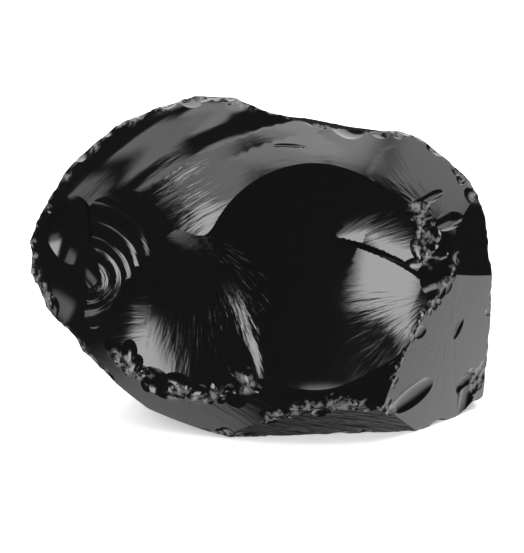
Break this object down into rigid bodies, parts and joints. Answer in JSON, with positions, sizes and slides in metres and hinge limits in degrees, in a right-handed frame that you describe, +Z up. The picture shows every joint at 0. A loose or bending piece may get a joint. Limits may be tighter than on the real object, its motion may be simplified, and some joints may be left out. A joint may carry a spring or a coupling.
{
  "type": "obsidian chunk",
  "caption": "Hand-sized lump of black volcanic glass with curved, rippled break faces and sharp ridges, resting on a flat foot.",
  "frame": {"origin": "middle of the bottom of the lump's bounding box, on the surface it stands on", "axes": "+Z up, +X along the lump's longest side, to the right of someone who faces the big hollow face, +Y away from them, into the lump"},
  "size_m": [0.1022, 0.0674, 0.0724],
  "materials": {
    "obsidian": "polished-looking natural break, black and opaque at this thickness, frosted only where the ridges are crushed"
  },
  "bodies": {
    "root": {"Obsidian_Chunk": "obsidian"}
  },
  "joints": []
}
